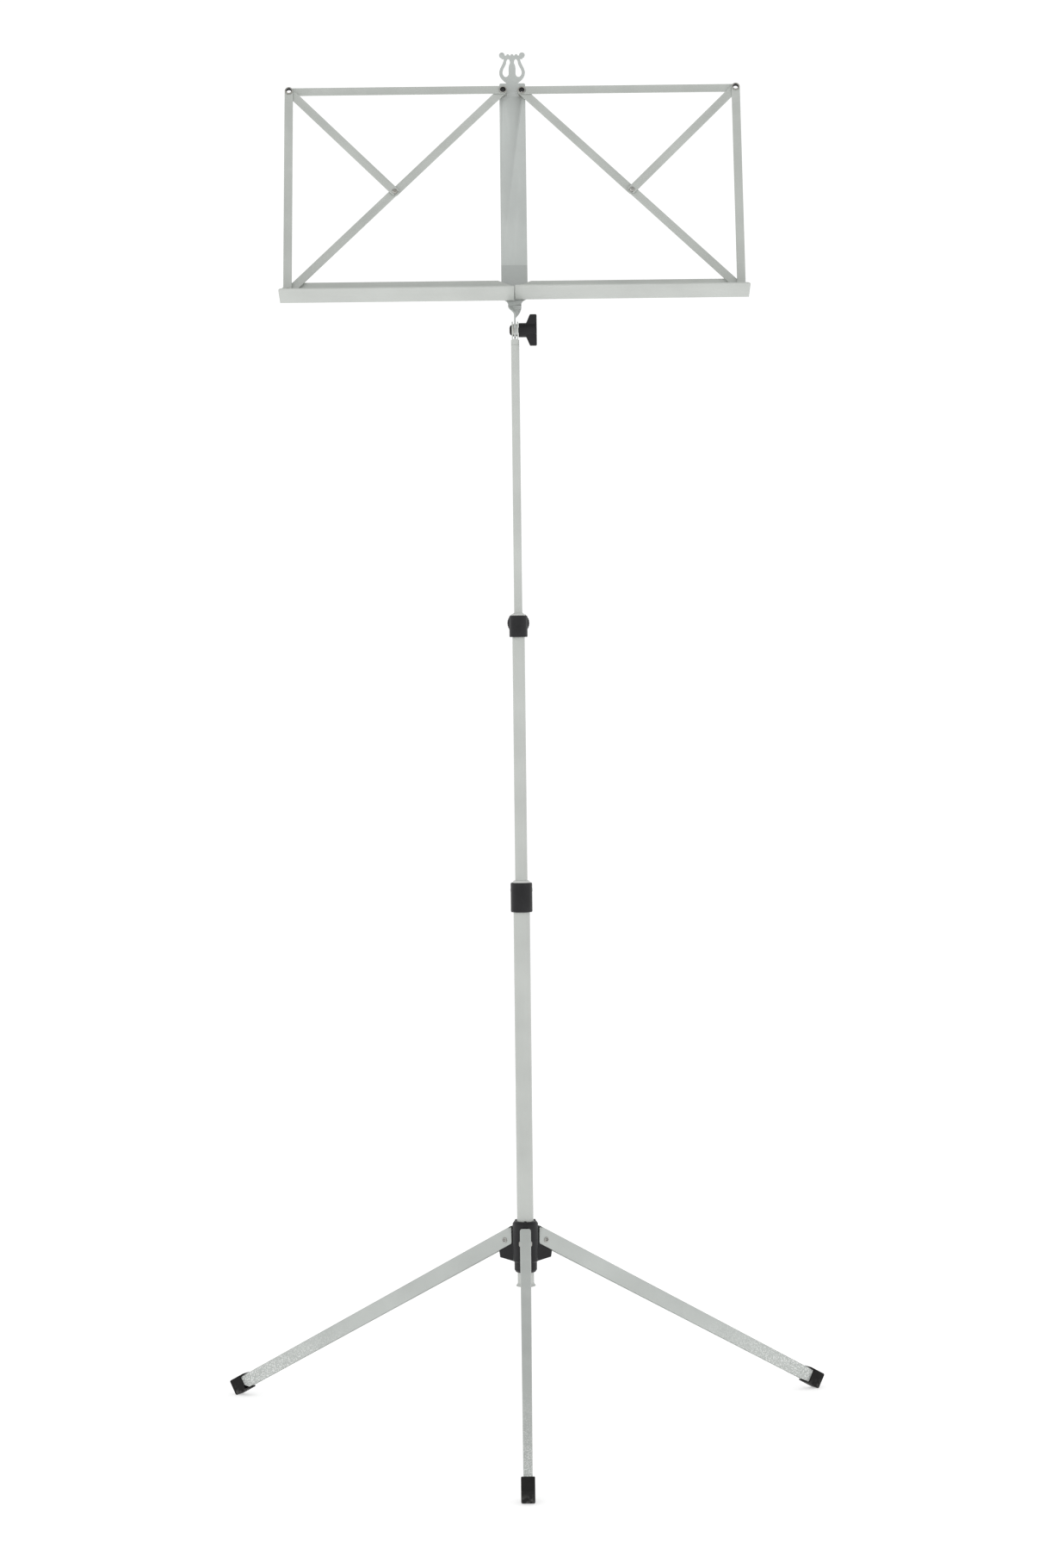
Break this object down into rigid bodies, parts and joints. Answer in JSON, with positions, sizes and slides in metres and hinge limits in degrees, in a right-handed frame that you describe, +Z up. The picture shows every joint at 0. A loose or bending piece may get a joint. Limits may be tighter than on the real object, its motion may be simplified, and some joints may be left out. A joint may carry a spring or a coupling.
{
  "type": "folding music stand",
  "caption": "Folding music stand with tripod legs, a telescopic pole, a tilt clamp and a folding wire-bar desk with two ledges.",
  "frame": {"origin": "on the floor, under the middle of the stand's bounding box", "axes": "+Z up, -Y towards the player, +X to the player's right as the desk is read"},
  "size_m": [0.6052, 0.5246, 1.3433],
  "materials": {
    "grey_paint": "semi-gloss",
    "black_plastic": "satin",
    "black_rubber": "matte",
    "bright_nickel": "polished",
    "black_steel": "black oxide",
    "plain_steel": "satin"
  },
  "bodies": {
    "hub": {"leg_hub": "black_plastic", "leg_rivets": "plain_steel"},
    "front_leg": {"front_leg": "grey_paint", "front_foot_cap": "black_rubber"},
    "right_leg": {"right_leg": "grey_paint", "right_foot_cap": "black_rubber"},
    "left_leg": {"left_leg": "grey_paint", "left_foot_cap": "black_rubber"},
    "lower_pole": {"lower_tube": "grey_paint", "lower_collar": "black_plastic", "lower_clamp_pad": "black_plastic"},
    "lower_knob": {"lower_clamp_knob": "black_plastic", "lower_clamp_screw": "plain_steel"},
    "middle_guide": {"middle_tube_bush": "black_plastic"},
    "middle_pole": {"middle_tube": "grey_paint", "upper_collar": "black_plastic", "upper_clamp_pad": "black_plastic"},
    "upper_knob": {"upper_clamp_knob": "black_plastic", "upper_clamp_screw": "plain_steel"},
    "upper_guide": {"upper_rod_bush": "black_plastic"},
    "upper_pole": {"upper_rod": "grey_paint", "tilt_fork": "grey_paint", "tilt_bolt": "black_steel", "tilt_washers": "plain_steel"},
    "tilt_knob": {"tilt_knob": "black_plastic", "tilt_knob_nut": "plain_steel"},
    "desk": {"centre_bar": "grey_paint", "top_pivot_eyelets": "bright_nickel", "top_pivot_spacers": "plain_steel", "ledge_pivot_eyelets": "bright_nickel", "ledge_pivot_spacer": "plain_steel"},
    "left_ledge": {"left_ledge": "grey_paint", "left_ledge_end_eyelet": "bright_nickel", "left_ledge_end_washers": "plain_steel"},
    "left_top_bar": {"left_top_bar": "grey_paint", "left_corner_eyelet": "bright_nickel"},
    "left_side_bar": {"left_side_bar": "grey_paint"},
    "left_upper_diagonal": {"left_upper_diagonal": "grey_paint", "left_knee_rivet": "bright_nickel"},
    "left_lower_diagonal": {"left_lower_diagonal": "grey_paint", "left_knee_stud": "bright_nickel"},
    "left_stay": {"left_stay": "grey_paint"},
    "right_ledge": {"right_ledge": "grey_paint", "right_ledge_end_eyelet": "bright_nickel", "right_ledge_end_washers": "plain_steel"},
    "right_top_bar": {"right_top_bar": "grey_paint", "right_corner_eyelet": "bright_nickel"},
    "right_side_bar": {"right_side_bar": "grey_paint"},
    "right_upper_diagonal": {"right_upper_diagonal": "grey_paint", "right_knee_rivet": "bright_nickel"},
    "right_lower_diagonal": {"right_lower_diagonal": "grey_paint", "right_knee_stud": "bright_nickel"},
    "right_stay": {"right_stay": "grey_paint"}
  },
  "joints": [
    {"name": "front_leg_fold", "type": "hinge", "parent": "hub", "child": "front_leg", "pos_m": [0, 0.06377, 0.1805], "axis": [1, 0, 0], "range_deg": [0, 61.4]},
    {"name": "right_leg_fold", "type": "hinge", "parent": "hub", "child": "right_leg", "pos_m": [0.01767, 0.09437, 0.1805], "axis": [-0.5, 0.866, 0], "range_deg": [0, 61.4]},
    {"name": "left_leg_fold", "type": "hinge", "parent": "hub", "child": "left_leg", "pos_m": [-0.01767, 0.09437, 0.1805], "axis": [-0.5, -0.866, 0], "range_deg": [0, 61.4]},
    {"name": "lower_pole_slide", "type": "slide", "parent": "hub", "child": "lower_pole", "axis": [0, 0, 1], "range_m": [-0.295, 0.01]},
    {"name": "lower_knob_turn", "type": "hinge", "parent": "lower_pole", "child": "lower_knob", "pos_m": [0, 0.08417, 0.5212], "axis": [0, 1, 0], "continuous": true},
    {"name": "middle_pole_slide", "type": "slide", "parent": "lower_pole", "child": "middle_guide", "axis": [0, 0, 1], "range_m": [-0.234, 0.1]},
    {"name": "middle_pole_turn", "type": "hinge", "parent": "middle_guide", "child": "middle_pole", "pos_m": [0, 0.08417, 0.385], "axis": [0, 0, 1], "continuous": true},
    {"name": "upper_knob_turn", "type": "hinge", "parent": "middle_pole", "child": "upper_knob", "pos_m": [0, 0.08417, 0.781], "axis": [0, 1, 0], "continuous": true},
    {"name": "upper_pole_slide", "type": "slide", "parent": "middle_pole", "child": "upper_guide", "axis": [0, 0, 1], "range_m": [-0.255, 0.1]},
    {"name": "upper_pole_turn", "type": "hinge", "parent": "upper_guide", "child": "upper_pole", "pos_m": [0, 0.08417, 0.645], "axis": [0, 0, 1], "continuous": true},
    {"name": "desk_tilt", "type": "hinge", "parent": "upper_pole", "child": "desk", "pos_m": [0, 0.08417, 1.063], "axis": [-1, 0, 0], "range_deg": [-35, 70]},
    {"name": "tilt_knob_turn", "type": "hinge", "parent": "upper_pole", "child": "tilt_knob", "pos_m": [0, 0.08417, 1.063], "axis": [1, 0, 0], "continuous": true},
    {"name": "left_ledge_fold", "type": "hinge", "parent": "desk", "child": "left_ledge", "pos_m": [-0.0092, 0.0968, 1.09969], "axis": [0, 0.9455, -0.3256], "range_deg": [0, 85.5]},
    {"name": "left_top_bar_fold", "type": "hinge", "parent": "desk", "child": "left_top_bar", "pos_m": [-0.0092, 0.16638, 1.30174], "axis": [0, 0.9455, -0.3256], "range_deg": [0, 85.5]},
    {"name": "left_side_bar_fold", "type": "hinge", "parent": "left_top_bar", "child": "left_side_bar", "pos_m": [-0.2191, 0.16638, 1.30174], "axis": [0, 0.9455, -0.3256], "range_deg": [-85.5, 0]},
    {"name": "left_upper_diagonal_fold", "type": "hinge", "parent": "desk", "child": "left_upper_diagonal", "pos_m": [-0.0092, 0.16638, 1.30174], "axis": [0, 0.9455, -0.3256], "range_deg": [-42.65, 0]},
    {"name": "left_lower_diagonal_fold", "type": "hinge", "parent": "left_ledge", "child": "left_lower_diagonal", "pos_m": [-0.2191, 0.0968, 1.09969], "axis": [0, 0.9455, -0.3256], "range_deg": [0, 45.52]},
    {"name": "left_stay_fold", "type": "hinge", "parent": "left_top_bar", "child": "left_stay", "pos_m": [-0.2191, 0.16638, 1.30174], "axis": [0, 0.9455, -0.3256], "range_deg": [-46.29, 0]},
    {"name": "right_ledge_fold", "type": "hinge", "parent": "desk", "child": "right_ledge", "pos_m": [0.0092, 0.0968, 1.09969], "axis": [0, -0.9455, 0.3256], "range_deg": [0, 85.5]},
    {"name": "right_top_bar_fold", "type": "hinge", "parent": "desk", "child": "right_top_bar", "pos_m": [0.0092, 0.16638, 1.30174], "axis": [0, -0.9455, 0.3256], "range_deg": [0, 85.5]},
    {"name": "right_side_bar_fold", "type": "hinge", "parent": "right_top_bar", "child": "right_side_bar", "pos_m": [0.2191, 0.16638, 1.30174], "axis": [0, -0.9455, 0.3256], "range_deg": [-85.5, 0]},
    {"name": "right_upper_diagonal_fold", "type": "hinge", "parent": "desk", "child": "right_upper_diagonal", "pos_m": [0.0092, 0.16638, 1.30174], "axis": [0, -0.9455, 0.3256], "range_deg": [-42.65, 0]},
    {"name": "right_lower_diagonal_fold", "type": "hinge", "parent": "right_ledge", "child": "right_lower_diagonal", "pos_m": [0.2191, 0.0968, 1.09969], "axis": [0, -0.9455, 0.3256], "range_deg": [0, 45.52]},
    {"name": "right_stay_fold", "type": "hinge", "parent": "right_top_bar", "child": "right_stay", "pos_m": [0.2191, 0.16638, 1.30174], "axis": [0, -0.9455, 0.3256], "range_deg": [-46.29, 0]}
  ],
  "couplings": [
    {"joint": "left_top_bar_fold", "follows": "left_ledge_fold", "ratio": 1},
    {"joint": "left_side_bar_fold", "follows": "left_ledge_fold", "ratio": -1},
    {"joint": "left_upper_diagonal_fold", "follows": "left_ledge_fold", "ratio": -0.49877},
    {"joint": "left_lower_diagonal_fold", "follows": "left_ledge_fold", "ratio": 0.53233},
    {"joint": "left_stay_fold", "follows": "left_ledge_fold", "ratio": -0.54143},
    {"joint": "right_top_bar_fold", "follows": "right_ledge_fold", "ratio": 1},
    {"joint": "right_side_bar_fold", "follows": "right_ledge_fold", "ratio": -1},
    {"joint": "right_upper_diagonal_fold", "follows": "right_ledge_fold", "ratio": -0.49877},
    {"joint": "right_lower_diagonal_fold", "follows": "right_ledge_fold", "ratio": 0.53233},
    {"joint": "right_stay_fold", "follows": "right_ledge_fold", "ratio": -0.54143}
  ]
}
